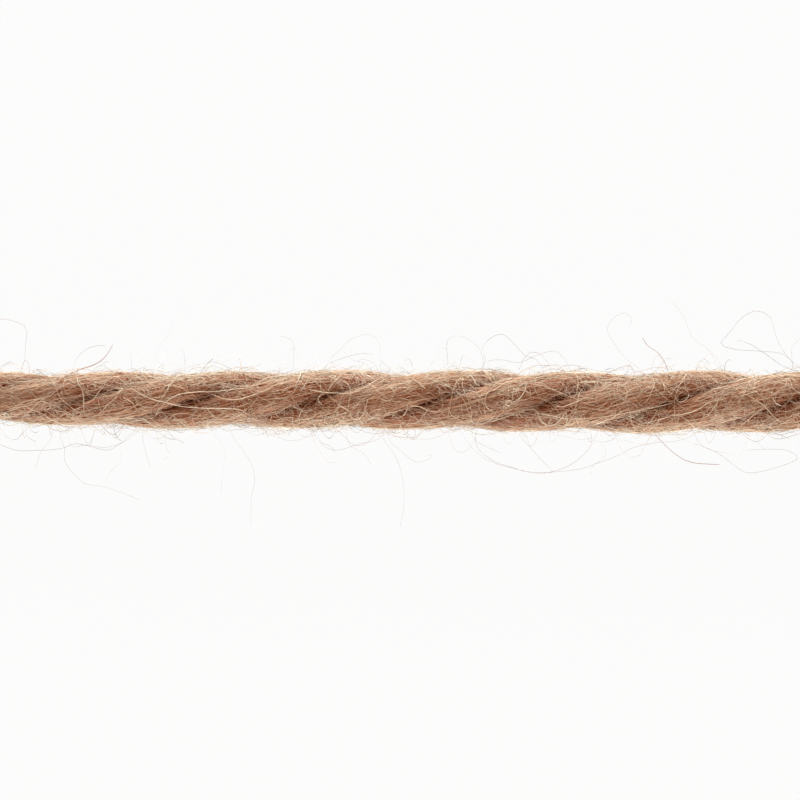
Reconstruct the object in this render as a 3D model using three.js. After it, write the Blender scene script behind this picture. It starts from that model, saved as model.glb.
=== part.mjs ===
// Three-ply wool knitting yarn: a straight cut length of it, lying on a flat surface.
// Millimetres, +Z up, +X along the yarn. The origin lies on the surface under the middle of the yarn.

import * as THREE from 'three';

// Length of the piece and of one full turn of its plies.
const YARN_LENGTH = 76;
const TWIST_PITCH = 25.1;

// Section of one ply at full girth: a round back, cut to a wedge by its two neighbours.
const BACK_RADIUS = 1.3;
const BACK_OFFSET = 0.75;
const HEART_OFFSET = 1.05;
const CORNER_SHARPNESS = 6;
const YARN_RADIUS = BACK_OFFSET + BACK_RADIUS;

// Clearance between neighbouring plies, and how far the yarn is pressed flat on the surface.
const PLY_GAP = 0.3;
const PRESSED_DEPTH = 0.14;

// The ends are cut across, with the plies drawn in a little over the last stretch.
const END_STRETCH = 1.2;
const END_DRAWN_IN = 0.12;

// Facets round a ply and along it.
const SECTION_SIDES = 18;
const LENGTH_STEPS = 72;

// The yarn's route and its uneven girth, from its left end to its right end in even steps.
// x: along the yarn. side: drift of its middle line. girth: thickness, 1 being full size.
const ROUTE = [
  { x: -38.0, side: 0.2, girth: 0.86 },
  { x: -33.25, side: 0.2, girth: 0.87 },
  { x: -28.5, side: 0.18, girth: 0.88 },
  { x: -23.75, side: 0.14, girth: 0.91 },
  { x: -19.0, side: 0.04, girth: 0.96 },
  { x: -14.25, side: 0.01, girth: 0.98 },
  { x: -9.5, side: 0.06, girth: 0.97 },
  { x: -4.75, side: 0.08, girth: 0.99 },
  { x: 0.0, side: 0.06, girth: 0.99 },
  { x: 4.75, side: 0.0, girth: 1.02 },
  { x: 9.5, side: -0.07, girth: 1.04 },
  { x: 14.25, side: -0.13, girth: 1.03 },
  { x: 19.0, side: -0.12, girth: 1.05 },
  { x: 23.75, side: -0.09, girth: 1.04 },
  { x: 28.5, side: -0.08, girth: 1.04 },
  { x: 33.25, side: -0.08, girth: 1.03 },
  { x: 38.0, side: -0.08, girth: 1.02 },
];

// The plies, in the order in which they follow each other round the yarn.
// heading: degrees from straight up to the ply's back, at the middle of the yarn.
// share: its wedge of the yarn's section, in degrees.
const PLIES = [
  { name: 'ply_1', heading: 265, share: 110, colour: 0xa27b5f },
  { name: 'ply_2', heading: 146, share: 128, colour: 0xa98263 },
  { name: 'ply_3', heading: 21, share: 122, colour: 0xa67d5e },
];

// Thick and thin places of single plies. reach: half their length.
// swell: the share of the ply's back radius that is added.
const SLUBS = [
  { ply: 'ply_1', x: -27.0, reach: 4.0, swell: -0.05 },
  { ply: 'ply_1', x: -1.5, reach: 3.5, swell: 0.06 },
  { ply: 'ply_1', x: 19.0, reach: 4.5, swell: 0.05 },
  { ply: 'ply_2', x: -19.5, reach: 4.0, swell: 0.04 },
  { ply: 'ply_2', x: 7.0, reach: 3.5, swell: 0.06 },
  { ply: 'ply_2', x: 30.0, reach: 4.0, swell: -0.04 },
  { ply: 'ply_3', x: -11.0, reach: 4.0, swell: -0.04 },
  { ply: 'ply_3', x: 14.5, reach: 3.5, swell: 0.04 },
];

const TURN = 2 * Math.PI;
const radians = THREE.MathUtils.degToRad;

// Smooth curve through the rows of the route, with the girth as its third value.
const routeCurve = new THREE.CatmullRomCurve3(
  ROUTE.map((row) => new THREE.Vector3(row.x, row.side, row.girth)),
);

/** Side drift and girth of the yarn at a place along it. */
function alongRoute(x) {
  const point = routeCurve.getPoint(x / YARN_LENGTH + 0.5);
  return { side: point.y, girth: point.z };
}

/** How much thicker or thinner a ply is at a place along it than its even self. */
function slubFactor(plyName, x) {
  let factor = 1;
  for (const slub of SLUBS) {
    const away = Math.abs(x - slub.x) / slub.reach;
    if (slub.ply === plyName && away < 1) {
      factor += slub.swell * (1 + Math.cos(Math.PI * away)) / 2;
    }
  }
  return factor;
}

/** Drawing-in of the cut ends: 1 along the yarn, a little less over each end stretch. */
function endFactor(x) {
  const fromEnd = YARN_LENGTH / 2 - Math.abs(x);
  return 1 - END_DRAWN_IN * (1 - THREE.MathUtils.smoothstep(fromEnd, 0, END_STRETCH));
}

/**
 * Distance from a ply's heart to its skin, in the direction at an angle from straight outwards.
 * The skin is the nearest of the round back and the two planes next to its neighbours, with soft corners.
 */
function heartToSkin(angle, share, girth, slub) {
  const heart = HEART_OFFSET * girth;
  const radius = BACK_RADIUS * girth * slub;
  const inset = heart - BACK_OFFSET * girth;
  const toBack = Math.sqrt(radius ** 2 - (inset * Math.sin(angle)) ** 2) - inset * Math.cos(angle);
  const halfShare = share / 2;
  const toPlane = heart * Math.sin(halfShare) - PLY_GAP / 2;
  const limits = [toBack];
  for (const slope of [Math.sin(angle - halfShare), Math.sin(-angle - halfShare)]) {
    if (slope > 0) {
      limits.push(toPlane / slope);
    }
  }
  const closeness = limits.reduce((sum, limit) => sum + limit ** -CORNER_SHARPNESS, 0);
  return closeness ** (-1 / CORNER_SHARPNESS);
}

/** Point of a ply: x along the yarn, an angle round its heart, a share of the way from heart to skin. */
function plyPoint(ply, x, angle, outwards) {
  const route = alongRoute(x);
  const girth = route.girth * endFactor(x);
  const heading = radians(ply.heading) + TURN * x / TWIST_PITCH;
  const reach = outwards * heartToSkin(angle, radians(ply.share), girth, slubFactor(ply.name, x));
  const heart = HEART_OFFSET * girth;
  const sideways = heart * Math.sin(heading) + reach * Math.sin(heading + angle);
  const upwards = heart * Math.cos(heading) + reach * Math.cos(heading + angle);
  const axisHeight = YARN_RADIUS * route.girth - PRESSED_DEPTH;
  return new THREE.Vector3(x, route.side + sideways, Math.max(axisHeight + upwards, 0));
}

/** One ply: a closed cylinder whose points are set on the twisted, uneven form of the ply. */
function makePly(ply) {
  const geometry = new THREE.CylinderGeometry(1, 1, 1, SECTION_SIDES, LENGTH_STEPS);
  geometry.rotateZ(-Math.PI / 2);
  const places = geometry.attributes.position;
  const place = new THREE.Vector3();
  for (let index = 0; index < places.count; index += 1) {
    place.fromBufferAttribute(places, index);
    const outwards = Math.hypot(place.y, place.z);
    const angle = Math.atan2(place.y, place.z);
    const point = plyPoint(ply, place.x * YARN_LENGTH, angle, outwards);
    places.setXYZ(index, point.x, point.y, point.z);
  }
  geometry.computeVertexNormals();
  const material = new THREE.MeshStandardMaterial({ color: ply.colour, roughness: 0.95, metalness: 0 });
  const mesh = new THREE.Mesh(geometry, material);
  mesh.name = ply.name;
  return mesh;
}

/** The yarn: its plies, moved so that the origin lies under the middle of their box. */
function makeYarn() {
  const yarn = new THREE.Group();
  yarn.add(...PLIES.map(makePly));
  const middle = new THREE.Box3().setFromObject(yarn).getCenter(new THREE.Vector3());
  yarn.position.set(-middle.x, -middle.y, 0);
  return yarn;
}

export default makeYarn();
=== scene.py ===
"""Three-ply wool knitting yarn: its plies and fibres, dressed over the solids of a straight cut length."""

import logging
import math
from dataclasses import dataclass
from enum import Enum

import bpy
import numpy as np
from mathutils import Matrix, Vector


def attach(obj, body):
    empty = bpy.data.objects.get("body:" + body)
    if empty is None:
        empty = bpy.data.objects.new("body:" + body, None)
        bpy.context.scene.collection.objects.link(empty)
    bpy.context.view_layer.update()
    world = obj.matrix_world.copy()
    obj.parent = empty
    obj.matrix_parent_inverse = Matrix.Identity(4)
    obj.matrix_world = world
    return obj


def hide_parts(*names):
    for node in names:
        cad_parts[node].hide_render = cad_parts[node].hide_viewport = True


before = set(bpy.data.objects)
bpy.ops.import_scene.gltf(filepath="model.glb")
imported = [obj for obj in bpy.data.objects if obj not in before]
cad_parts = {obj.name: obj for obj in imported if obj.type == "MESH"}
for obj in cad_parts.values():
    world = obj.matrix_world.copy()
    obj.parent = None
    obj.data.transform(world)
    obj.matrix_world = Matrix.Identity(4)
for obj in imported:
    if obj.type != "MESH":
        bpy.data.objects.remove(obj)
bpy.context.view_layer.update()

# Sizes are in millimetres and angles in degrees until a mesh is made.
MM = 0.001
TURN = 2 * math.pi
BODY = "root"
PLY_NODES = ("ply_1", "ply_2", "ply_3")

# Share of the loose fibres that bow back to the yarn. The others have a free tip.
LOOPED_SHARE = 0.6

log = logging.getLogger("yarn")

# Arrays of points, with a last axis of three, and of plain numbers.
Points = np.ndarray
Numbers = np.ndarray


def linear_colour(code: str) -> tuple[float, float, float, float]:
    """Turn an sRGB hex colour to the linear one that a shader takes.

    Args:
        code: Six hex digits, red first.

    Returns:
        Linear red, green and blue, and an alpha of 1.
    """
    parts = [int(code[start:start + 2], 16) / 255 for start in (0, 2, 4)]
    straight = [part / 12.92 if part <= 0.04045 else ((part + 0.055) / 1.055) ** 2.4 for part in parts]
    return (*straight, 1.0)


def add_node(tree: bpy.types.NodeTree, kind: str, settings: dict | None = None,
             links: dict | None = None) -> bpy.types.Node:
    """Add a node with its settings and links.

    Args:
        tree: The tree that gets the node.
        kind: Blender's name for the kind of node.
        settings: Attributes of the node, by name.
        links: Inputs, by name or number, each with a socket to link or a value to set.

    Returns:
        The new node.
    """
    node = tree.nodes.new(kind)
    for name, value in (settings or {}).items():
        setattr(node, name, value)
    for name, source in (links or {}).items():
        if isinstance(source, bpy.types.NodeSocket):
            tree.links.new(source, node.inputs[name])
        else:
            node.inputs[name].default_value = source
    return node


def ease(rows: Numbers, way: Numbers) -> Numbers:
    """Pass smoothly through rows of numbers, on a Catmull-Rom curve.

    Args:
        rows: The rows.
        way: How far through them, a whole number at each row.

    Returns:
        A row for each place on the way.
    """
    row = np.minimum(way.astype(int), len(rows) - 2)
    t = (way - row)[..., None]
    before, start = rows[np.maximum(row - 1, 0)], rows[row]
    end, after = rows[row + 1], rows[np.minimum(row + 2, len(rows) - 1)]
    return start + t / 2 * (end - before + t * (
        2 * before - 5 * start + 4 * end - after + t * (3 * (start - end) + after - before)))


class Rise(Enum):
    """How a loose fibre leaves the yarn's surface."""

    LOOP = "out and back"
    FREE = "out, with its tip free"

    def lift(self, share: Numbers) -> Numbers:
        """Height over the surface along the fibre, as a share of its greatest height."""
        if self is Rise.LOOP:
            return np.sin(math.pi * share) ** 0.8
        return share ** 1.4


@dataclass(frozen=True)
class Ply:
    """One of the singles: its node, the way its back faces at mid-length and its wedge of the section."""

    node: str
    heading: float
    share: float


@dataclass(frozen=True)
class YarnForm:
    """The twisted form of the yarn, from the same sizes as its solids.

    A row of the route holds a place along the yarn, the drift of its middle line to the side and its
    girth, and the places lie in even steps. A row of the slubs holds a ply, a place along it, half the
    slub's length and the share of the back's radius that is added. The centring is how far the part is
    moved to the side, so that its origin lies under the middle of its box.
    """

    length: float = 76.0
    pitch: float = 25.1
    back_radius: float = 1.3
    back_offset: float = 0.75
    heart_offset: float = 1.05
    corner_sharpness: float = 6.0
    pressed: float = 0.14
    centring: float = 0.079
    plies: tuple[Ply, ...] = (
        Ply("ply_1", 265, 110),
        Ply("ply_2", 146, 128),
        Ply("ply_3", 21, 122),
    )
    route: tuple[tuple[float, float, float], ...] = (
        (-38.0, 0.2, 0.86),
        (-33.25, 0.2, 0.87),
        (-28.5, 0.18, 0.88),
        (-23.75, 0.14, 0.91),
        (-19.0, 0.04, 0.96),
        (-14.25, 0.01, 0.98),
        (-9.5, 0.06, 0.97),
        (-4.75, 0.08, 0.99),
        (0.0, 0.06, 0.99),
        (4.75, 0.0, 1.02),
        (9.5, -0.07, 1.04),
        (14.25, -0.13, 1.03),
        (19.0, -0.12, 1.05),
        (23.75, -0.09, 1.04),
        (28.5, -0.08, 1.04),
        (33.25, -0.08, 1.03),
        (38.0, -0.08, 1.02),
    )
    slubs: tuple[tuple[str, float, float, float], ...] = (
        ("ply_1", -27.0, 4.0, -0.05),
        ("ply_1", -1.5, 3.5, 0.06),
        ("ply_1", 19.0, 4.5, 0.05),
        ("ply_2", -19.5, 4.0, 0.04),
        ("ply_2", 7.0, 3.5, 0.06),
        ("ply_2", 30.0, 4.0, -0.04),
        ("ply_3", -11.0, 4.0, -0.04),
        ("ply_3", 14.5, 3.5, 0.04),
    )

    @property
    def radius(self) -> float:
        """Distance from the yarn's axis to the back of a ply, at full girth."""
        return self.back_offset + self.back_radius

    def along(self, x: Numbers) -> tuple[Numbers, Numbers]:
        """Side drift and girth of the yarn, eased through the rows of its route.

        Args:
            x: Places along the yarn.

        Returns:
            The drift and the girth at each place.
        """
        rows = np.array(self.route)[:, 1:]
        eased = ease(rows, np.clip(np.asarray(x) / self.length + 0.5, 0, 1) * (len(rows) - 1))
        return eased[..., 0] + self.centring, eased[..., 1]

    def axis_height(self, x: Numbers) -> Numbers:
        """Height of the yarn's axis over the surface that it is pressed on."""
        return self.radius * self.along(x)[1] - self.pressed

    def heading(self, ply: Ply, x: Numbers) -> Numbers:
        """Angle from straight up to a ply's back, in radians, at places along the yarn."""
        return math.radians(ply.heading) + TURN * x / self.pitch

    def slub(self, ply: Ply, x: Numbers) -> Numbers:
        """Thick and thin places of one ply.

        Args:
            ply: The ply.
            x: Places along the yarn.

        Returns:
            A factor on the radius of the ply's back for each place.
        """
        factor = np.ones_like(x)
        for node, middle, reach, swell in self.slubs:
            if node == ply.node:
                away = np.clip(np.abs(x - middle) / reach, 0, 1)
                factor = factor + swell * (1 + np.cos(math.pi * away)) / 2
        return factor

    def skin(self, ply: Ply, x: Numbers, angle: Numbers, gap: float) -> Numbers:
        """Distance from a ply's heart to its skin.

        Args:
            ply: The ply.
            x: Places along the yarn.
            angle: Directions round the heart, in radians from straight outwards.
            gap: Clearance between neighbouring plies.

        Returns:
            The distance for each place and direction.
        """
        girth = self.along(x)[1]
        heart = self.heart_offset * girth
        radius = self.back_radius * girth * self.slub(ply, x)
        inset = heart - self.back_offset * girth
        to_back = np.sqrt(radius ** 2 - (inset * np.sin(angle)) ** 2) - inset * np.cos(angle)
        half = math.radians(ply.share) / 2
        to_plane = heart * math.sin(half) - gap / 2
        closeness = to_back ** -self.corner_sharpness
        for slope in (np.sin(angle - half), np.sin(-angle - half)):
            closeness = closeness + (np.maximum(slope, 0) / to_plane) ** self.corner_sharpness
        return closeness ** (-1 / self.corner_sharpness)

    def on_ply(self, ply: Ply, x: Numbers, angle: Numbers, depth: Numbers, gap: float = 0.12) -> Points:
        """Points in or on a ply.

        Args:
            ply: The ply.
            x: Places along the yarn.
            angle: Directions round the ply's heart, in radians from straight outwards.
            depth: Share of the way from the heart to the skin.
            gap: Clearance between neighbouring plies.

        Returns:
            The points, with a last axis of three.
        """
        side, girth = self.along(x)
        heading = self.heading(ply, x)
        heart = self.heart_offset * girth
        reach = depth * self.skin(ply, x, angle, gap)
        sideways = side + heart * np.sin(heading) + reach * np.sin(heading + angle)
        upwards = self.axis_height(x) + heart * np.cos(heading) + reach * np.cos(heading + angle)
        return np.stack([x, sideways, upwards], -1)

    @staticmethod
    def outward(x: Numbers, angle: Numbers) -> Points:
        """Directions square to the yarn's length, at angles in radians from straight up."""
        return np.stack([0 * (x + angle), np.sin(angle) + 0 * x, np.cos(angle) + 0 * x], -1)

    def furrow(self, x: Numbers, angle: Numbers) -> Numbers:
        """How far off the nearest ply's back a direction lies.

        Args:
            x: Places along the yarn.
            angle: Directions round the yarn's axis, in radians from straight up.

        Returns:
            For each direction 0 over a ply's back, and about 0.5 in the furrow between two plies.
        """
        nearest = np.full(np.broadcast(x, angle).shape, -1.0)
        for ply in self.plies:
            nearest = np.maximum(nearest, np.cos(angle - self.heading(ply, x)))
        return 1 - nearest

    def around(self, x: Numbers, angle: Numbers, lift: Numbers, dip: float = 0.0) -> Points:
        """Points over the yarn's taut outline, which bridges the furrows between the plies.

        Args:
            x: Places along the yarn.
            angle: Directions round the yarn's axis, in radians from straight up.
            lift: Distance over the outline.
            dip: How far the outline is drawn into the furrows.

        Returns:
            The points, with a last axis of three.
        """
        side, girth = self.along(x)
        furrow = self.furrow(x, angle)
        reach = girth * (self.back_offset * (1 - furrow) + self.back_radius) + lift - 2 * dip * furrow
        sideways = side + reach * np.sin(angle)
        return np.stack([x + 0 * angle, sideways, self.axis_height(x) + reach * np.cos(angle)], -1)

    def over(self, x: Numbers, side: Numbers, lift: float) -> Points:
        """Points on top of the yarn, or level with its axis where they lie beside it.

        Args:
            x: Places along the yarn.
            side: Places across it.
            lift: Distance over the yarn's outline.

        Returns:
            The points, with a last axis of three.
        """
        drift, girth = self.along(x)
        away = side - drift
        angle = np.arcsin(np.clip(away / self.radius, -1, 1))
        outline = self.around(x, angle, lift)
        reach = np.hypot(outline[..., 1] - drift, outline[..., 2] - self.axis_height(x))
        lowest = 0.1 * girth
        rise = np.sqrt(np.maximum(reach ** 2 - away ** 2, lowest ** 2))
        return np.stack([x, side, self.axis_height(x) + rise], -1)


@dataclass(frozen=True)
class WoolFinish:
    """Undyed brown sheep's wool, combed and spun, not smoothed or waxed.

    The eye gets a dull, warm fuzz: every fibre has its own brown, from a dark reddish one to a pale sandy
    one, and its scales break up the light, so only a soft sheen runs along it. The scales are drawn about
    five times as coarse as real ones, which are too fine to show.
    """

    name: str = "undyed_wool_spun"
    shades: tuple[tuple[float, str], ...] = (
        (0.0, "8f5840"),
        (0.35, "b17e60"),
        (0.65, "c8a384"),
        (1.0, "e2d3bb"),
    )
    roughness: tuple[float, float] = (0.5, 0.75)
    mottle_length: float = 0.9
    mottle_depth: float = 0.16
    scale_length: float = 0.05
    scale_height: float = 0.004
    scale_strength: float = 0.6
    sheen: float = 0.12
    glow: float = 0.0
    glow_depth: float = 0.03

    def make(self) -> bpy.types.Material:
        """Build the material: the fibre's tone, with any painted depth or furrow shade in it, mottled along
        it, through a ramp of the wool's browns.

        Returns:
            The material.
        """
        material = bpy.data.materials.new(self.name)
        material.use_nodes = True
        tree = material.node_tree
        shader = tree.nodes["Principled BSDF"]
        place = add_node(tree, "ShaderNodeTexCoord").outputs["Object"]
        tone = add_node(tree, "ShaderNodeAttribute", {"attribute_name": "tone"}).outputs["Fac"]
        mottle = add_node(tree, "ShaderNodeTexNoise", {}, {
            "Vector": place, "Scale": 1 / (self.mottle_length * MM), "Detail": 2.0}).outputs["Fac"]
        shift = add_node(tree, "ShaderNodeMath", {"operation": "MULTIPLY_ADD"}, {
            0: mottle, 1: 2 * self.mottle_depth, 2: -self.mottle_depth}).outputs[0]
        mixed = add_node(tree, "ShaderNodeMath", {"operation": "ADD"}, {0: tone, 1: shift}).outputs[0]
        mixed = self.streak(tree, mixed)
        ramp = add_node(tree, "ShaderNodeValToRGB", {}, {"Fac": mixed})
        stops = ramp.color_ramp.elements
        while len(stops) < len(self.shades):
            stops.new(0.5)
        for stop, (at, code) in zip(stops, self.shades):
            stop.position = at
            stop.color = linear_colour(code)
        low, high = self.roughness
        rough = add_node(tree, "ShaderNodeMapRange", {}, {"Value": mottle, "To Min": low, "To Max": high})
        bump = add_node(tree, "ShaderNodeBump", {}, {
            "Height": self.relief(tree, place), "Distance": self.scale_height * MM,
            "Strength": self.scale_strength})
        tree.links.new(ramp.outputs["Color"], shader.inputs["Base Color"])
        tree.links.new(rough.outputs["Result"], shader.inputs["Roughness"])
        tree.links.new(bump.outputs["Normal"], shader.inputs["Normal"])
        shader.inputs["Specular IOR Level"].default_value = self.sheen
        shader.inputs["Subsurface Weight"].default_value = self.glow
        shader.inputs["Subsurface Radius"].default_value = (1.0, 1.0, 1.0)
        shader.inputs["Subsurface Scale"].default_value = self.glow_depth * MM
        return material

    def streak(self, tree: bpy.types.NodeTree, tone: bpy.types.NodeSocket) -> bpy.types.NodeSocket:
        """Leave the tone as it is: a fibre is too thin for streaks."""
        return tone

    def relief(self, tree: bpy.types.NodeTree, place: bpy.types.NodeSocket) -> bpy.types.NodeSocket:
        """Height of the fibre's scales."""
        return add_node(tree, "ShaderNodeTexNoise", {}, {
            "Vector": place, "Scale": 1 / (self.scale_length * MM), "Detail": 1.0}).outputs["Fac"]


@dataclass(frozen=True)
class PackedWoolPaintedShadeFinish(WoolFinish):
    """The same wool packed side by side in the plies, under the loose fibres.

    The eye gets fine streaks and furrows a fibre wide that run the way the fibres lie. Its shades are darker
    and redder than the wool's, painted shade for the depth among the fibres, and its tone is lower in the
    furrows between streaks, painted shade too.
    """

    name: str = "undyed_wool_packed_painted_shade"
    # Darker, redder copies of the wool's shades: painted shade for the depth.
    shades: tuple[tuple[float, str], ...] = (
        (0.0, "7e4332"),
        (0.35, "9f6751"),
        (0.65, "ba8c70"),
        (1.0, "d8b99c"),
    )
    fibre_width: float = 0.06
    fibre_run: float = 4.0
    ply_step: float = 7.0
    streak_depth: float = 0.22
    scale_height: float = 0.03

    def lay(self, tree: bpy.types.NodeTree) -> bpy.types.NodeSocket:
        """Noise drawn out the way the fibres lie.

        Args:
            tree: The material's tree.

        Returns:
            The noise.
        """
        lay = add_node(tree, "ShaderNodeAttribute", {"attribute_name": "lay"}).outputs["Vector"]
        drawn = add_node(tree, "ShaderNodeVectorMath", {"operation": "MULTIPLY"}, {
            0: lay, 1: (1 / self.fibre_run, 1 / self.fibre_width, self.ply_step)}).outputs[0]
        noise = add_node(tree, "ShaderNodeTexNoise", {}, {"Vector": drawn, "Scale": 1.0, "Detail": 2.0})
        return noise.outputs["Fac"]

    def streak(self, tree: bpy.types.NodeTree, tone: bpy.types.NodeSocket) -> bpy.types.NodeSocket:
        """Shift the tone from streak to streak, with the noise that also shapes the relief, so the furrows
        are
        darker: painted shade.

        Args:
            tree: The material's tree.
            tone: The tone before the shift.

        Returns:
            The shifted tone.
        """
        lay = self.lay(tree)
        shift = add_node(tree, "ShaderNodeMath", {"operation": "MULTIPLY_ADD"}, {
            0: lay, 1: 2 * self.streak_depth, 2: -self.streak_depth}).outputs[0]
        return add_node(tree, "ShaderNodeMath", {"operation": "ADD"}, {0: tone, 1: shift}).outputs[0]

    def relief(self, tree: bpy.types.NodeTree, place: bpy.types.NodeSocket) -> bpy.types.NodeSocket:
        """Height of the packed fibres, round-backed side by side."""
        return self.lay(tree)


@dataclass(frozen=True)
class LooseWoolPaintedShadeFinish(WoolFinish):
    """The same wool in single fine fibres, teased out of the yarn by handling.

    The eye gets a dull greyed tan: its shades are darker and greyer than the wool's, painted shade for a thin
    fibre before a bright ground, which sends most of the light aside. Its darkest, redder shade serves the
    dark hairs and the painted furrow shade of the fuzz.
    """

    name: str = "undyed_wool_loose_painted_shade"
    # Darker, greyer copies of the wool's shades: painted shade.
    shades: tuple[tuple[float, str], ...] = (
        (0.0, "703c2a"),
        (0.35, "9b7861"),
        (0.65, "bba28b"),
        (1.0, "dac9b4"),
    )
    glow: float = 0.2


@dataclass
class FibreBatch:
    """Fibres that become one piece: their points, the way their backs face, their thickness and tones."""

    points: Points
    outward: Points
    girth: Numbers
    tone: Numbers


@dataclass(frozen=True)
class FibreSweep:
    """Sweeps lines into closed, tapered, crimped fibres with Geometry Nodes.

    The profile is flattened by its height and width and rolled round the fibre, and the lean turns its
    shading towards the outside of the yarn. Fibres stand a noise step apart in the noise that crimps
    them, and the swing brings that noise, which stays near its middle, up to the crimp's height.
    """

    radius: float = 0.019
    height: float = 1.0
    width: float = 1.0
    roll: float = 3.0
    smooth: bool = True
    lean: float = 0.6
    crimp_height: float = 0.05
    crimp_length: float = 1.1
    noise_step: float = 3.7
    noise_swing: float = 4.0
    sides: int = 3
    seed: int = 7

    def tree(self) -> bpy.types.NodeTree:
        """Build the node tree, with the sizes as named inputs.

        Returns:
            The tree.
        """
        tree = bpy.data.node_groups.new("fibre_sweep", "GeometryNodeTree")
        face = tree.interface
        face.new_socket("Geometry", in_out="INPUT", socket_type="NodeSocketGeometry")
        for name, kind in (("Fibre radius", "Float"), ("Height", "Float"), ("Width", "Float"),
                           ("Roll", "Float"), ("Smooth", "Bool"), ("Crimp height", "Float"),
                           ("Crimp length", "Float"), ("Sides", "Int"), ("Seed", "Float"),
                           ("Wool", "Material")):
            face.new_socket(name, in_out="INPUT", socket_type=f"NodeSocket{kind}")
        face.new_socket("Geometry", in_out="OUTPUT", socket_type="NodeSocketGeometry")
        given = add_node(tree, "NodeGroupInput").outputs
        curve = add_node(tree, "GeometryNodeMeshToCurve", {}, {"Mesh": given["Geometry"]}).outputs[0]
        fibre = add_node(tree, "GeometryNodeInputNamedAttribute", {"data_type": "FLOAT"}, {"Name": "fibre"})
        thickness = add_node(tree, "GeometryNodeInputNamedAttribute", {"data_type": "FLOAT"}, {
            "Name": "girth"})
        place = add_node(tree, "GeometryNodeInputPosition").outputs[0]
        turns = add_node(tree, "ShaderNodeMath", {"operation": "DIVIDE"}, {0: 1.0, 1: given["Crimp length"]})
        own = add_node(tree, "ShaderNodeMath", {"operation": "MULTIPLY_ADD"}, {
            0: fibre.outputs[0], 1: self.noise_step, 2: given["Seed"]})
        wave = add_node(tree, "ShaderNodeTexNoise", {"noise_dimensions": "4D"}, {
            "Vector": place, "W": own.outputs[0], "Scale": turns.outputs[0], "Detail": 1.0})
        centred = add_node(tree, "ShaderNodeVectorMath", {"operation": "SUBTRACT"}, {
            0: wave.outputs["Color"], 1: (0.5, 0.5, 0.5)})
        swing = add_node(tree, "ShaderNodeMath", {"operation": "MULTIPLY"}, {
            0: given["Crimp height"], 1: self.noise_swing})
        offset = add_node(tree, "ShaderNodeVectorMath", {"operation": "SCALE"}, {
            0: centred.outputs[0], "Scale": swing.outputs[0]})
        crimped = add_node(tree, "GeometryNodeSetPosition", {}, {
            "Geometry": curve, "Offset": offset.outputs[0]}).outputs[0]
        outward = add_node(tree, "GeometryNodeInputNamedAttribute", {"data_type": "FLOAT_VECTOR"}, {
            "Name": "outward"})
        facing = add_node(tree, "GeometryNodeSetCurveNormal", {"mode": "FREE"}, {
            "Curve": crimped, "Normal": outward.outputs[0]}).outputs[0]
        spread = add_node(tree, "ShaderNodeMath", {"operation": "SINE"}, {0: own.outputs[0]})
        roll = add_node(tree, "ShaderNodeMath", {"operation": "MULTIPLY"}, {
            0: spread.outputs[0], 1: given["Roll"]})
        rolled = add_node(tree, "GeometryNodeSetCurveTilt", {}, {
            "Curve": facing, "Tilt": roll.outputs[0]}).outputs[0]
        ring = add_node(tree, "GeometryNodeCurvePrimitiveCircle", {}, {
            "Resolution": given["Sides"], "Radius": given["Fibre radius"]}).outputs[0]
        shape = add_node(tree, "ShaderNodeCombineXYZ", {}, {0: given["Height"], 1: given["Width"], 2: 1.0})
        profile = add_node(tree, "GeometryNodeTransform", {}, {
            "Geometry": ring, "Scale": shape.outputs[0]}).outputs[0]
        tube = add_node(tree, "GeometryNodeCurveToMesh", {}, {
            "Curve": rolled, "Profile Curve": profile, "Scale": thickness.outputs[0],
            "Fill Caps": True}).outputs[0]
        round_tube = add_node(tree, "GeometryNodeSetShadeSmooth", {}, {
            "Geometry": tube, "Shade Smooth": given["Smooth"]}).outputs[0]
        dressed = add_node(tree, "GeometryNodeSetMaterial", {}, {
            "Geometry": round_tube, "Material": given["Wool"]}).outputs[0]
        real = add_node(tree, "GeometryNodeRealizeInstances", {}, {"Geometry": dressed}).outputs[0]
        add_node(tree, "NodeGroupOutput", {}, {"Geometry": real})
        return tree

    def sweep(self, name: str, batch: FibreBatch, material: bpy.types.Material) -> bpy.types.Object:
        """Turn a batch of lines into one piece of closed fibres.

        Args:
            name: The piece's name.
            batch: The fibres.
            material: Their wool.

        Returns:
            The finished piece, a plain mesh.
        """
        count, steps = batch.points.shape[:2]
        starts = np.arange(count * steps).reshape(count, steps)
        edges = np.stack([starts[:, :-1].ravel(), starts[:, 1:].ravel()], -1)
        lines = bpy.data.meshes.new(f"{name}_lines")
        lines.from_pydata((batch.points.reshape(-1, 3) * MM).tolist(), edges.tolist(), [])
        values = {
            "fibre": np.repeat(np.arange(count), steps),
            "girth": batch.girth,
            "tone": np.broadcast_to(batch.tone.reshape(count, -1), (count, steps)),
            "share": np.tile(np.linspace(0, 1, steps), count),
        }
        for title, value in values.items():
            layer = lines.attributes.new(title, "FLOAT", "POINT")
            layer.data.foreach_set("value", np.asarray(value, np.float32).ravel())
        layer = lines.attributes.new("outward", "FLOAT_VECTOR", "POINT")
        layer.data.foreach_set("vector", np.asarray(batch.outward, np.float32).ravel())
        draft = bpy.data.objects.new(f"{name}_draft", lines)
        bpy.context.collection.objects.link(draft)
        modifier = draft.modifiers.new("sweep", "NODES")
        modifier.node_group = self.tree()
        sizes = {"Fibre radius": self.radius * MM, "Height": self.height, "Width": self.width,
                 "Roll": self.roll, "Smooth": self.smooth, "Crimp height": self.crimp_height * MM,
                 "Crimp length": self.crimp_length * MM, "Sides": self.sides, "Seed": float(self.seed),
                 "Wool": material}
        for socket in modifier.node_group.interface.items_tree:
            if socket.in_out == "INPUT" and socket.name in sizes:
                modifier[socket.identifier] = sizes[socket.name]
        drawn = draft.evaluated_get(bpy.context.evaluated_depsgraph_get())
        mesh = bpy.data.meshes.new_from_object(drawn)
        bpy.data.objects.remove(draft)
        bpy.data.meshes.remove(lines)
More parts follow.
